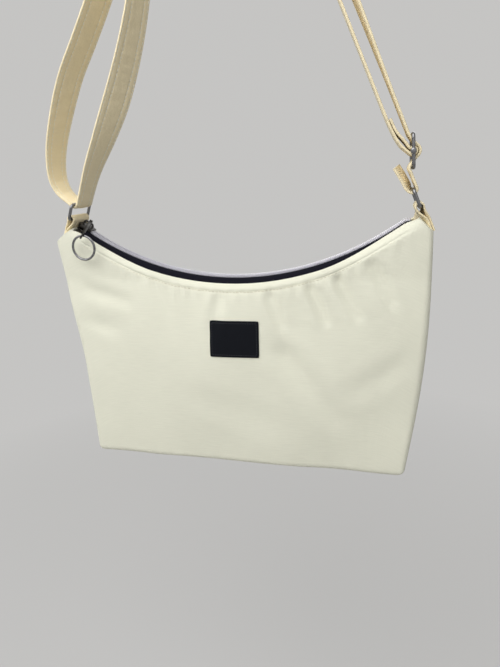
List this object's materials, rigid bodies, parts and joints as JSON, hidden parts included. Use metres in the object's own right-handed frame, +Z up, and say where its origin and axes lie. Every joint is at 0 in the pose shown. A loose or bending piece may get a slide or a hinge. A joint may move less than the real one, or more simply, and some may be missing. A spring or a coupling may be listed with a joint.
{
  "type": "crossbody bag",
  "caption": "Small canvas crossbody bag with a curved zipped mouth, boxed base, woven label and a long adjustable strap.",
  "frame": {"origin": "the underside of the strap at its top bend, where a hand or hook holds the bag", "axes": "+Z up, -Y out of the front panel, +X to the right seen from the front"},
  "size_m": [0.31, 0.0618, 0.5355],
  "materials": {
    "canvas": "matt ribbed cream canvas",
    "lining": "matt pale cotton",
    "label": "matt black weave",
    "zip_tape": "matt black tape",
    "zip_coil": "silver coated coil",
    "gunmetal": "polished gunmetal plate"
  },
  "bodies": {
    "strap": {"strap_end_a": "canvas", "strap_right_outer": "canvas", "strap_outer_run": "canvas", "strap_inner_run": "canvas", "strap_right_inner": "canvas"},
    "buckle": {"buckle_frame": "gunmetal", "buckle_centre_bar": "gunmetal", "strap_weave": "canvas", "strap_end_b": "canvas"},
    "left_ring": {"left_ring": "gunmetal"},
    "right_ring": {"right_ring": "gunmetal"},
    "bag": {"front_panel": "canvas", "back_panel": "canvas", "front_lining": "lining", "back_lining": "lining", "label_patch": "label", "zip_tape_front": "zip_tape", "zip_coil_front": "zip_coil", "left_tab": "canvas", "right_tab": "canvas"},
    "back_lip": {"back_hem": "canvas", "zip_tape_back": "zip_tape", "zip_coil_back": "zip_coil"},
    "slider": {"zip_slider": "gunmetal"},
    "pull_link": {"pull_link": "gunmetal"},
    "pull_ring": {"pull_ring": "gunmetal"}
  },
  "joints": [
    {"name": "left_ring_swing", "type": "hinge", "parent": "strap", "child": "left_ring", "pos_m": [-0.14003, 0, -0.30093], "axis": [0, 1, 0], "range_deg": [-15, 15]},
    {"name": "right_ring_swing", "type": "hinge", "parent": "strap", "child": "right_ring", "pos_m": [0.14003, 0, -0.30093], "axis": [0, 1, 0], "range_deg": [-15, 15]},
    {"name": "bag_sway", "type": "hinge", "parent": "left_ring", "child": "bag", "pos_m": [-0.14513, 0, -0.31354], "axis": [0, 1, 0], "range_deg": [-14, 14]},
    {"name": "buckle_slide", "type": "slide", "parent": "strap", "child": "buckle", "axis": [-0.3911, 0, 0.9204], "range_m": [0, 0.15], "deforming": ["strap_end_a", "strap_right_outer", "strap_right_inner"]},
    {"name": "zip_slide", "type": "hinge", "parent": "bag", "child": "slider", "pos_m": [0, 0, -0.12949], "axis": [0, -1, 0], "range_deg": [0, 70], "deforming": ["zip_coil_front", "zip_coil_back", "zip_tape_back"]},
    {"name": "back_lip_open", "type": "hinge", "parent": "bag", "child": "back_lip", "pos_m": [0, 0.006, -0.3215], "axis": [1, 0, 0], "range_deg": [0, 35]},
    {"name": "pull_link_lift", "type": "hinge", "parent": "slider", "child": "pull_link", "pos_m": [-0.13459, 0, -0.31748], "axis": [-0.8131, 0, 0.5822], "range_deg": [0, 90]},
    {"name": "pull_ring_swing", "type": "hinge", "parent": "pull_link", "child": "pull_ring", "pos_m": [-0.13046, -0.02161, -0.32659], "axis": [-1, 0, 0], "range_deg": [0, 90]}
  ],
  "couplings": [
    {"joint": "left_ring_swing", "follows": "bag_sway", "ratio": -1.0362},
    {"joint": "right_ring_swing", "follows": "bag_sway", "ratio": -1.04},
    {"joint": "back_lip_open", "follows": "zip_slide", "ratio": 0.5}
  ]
}
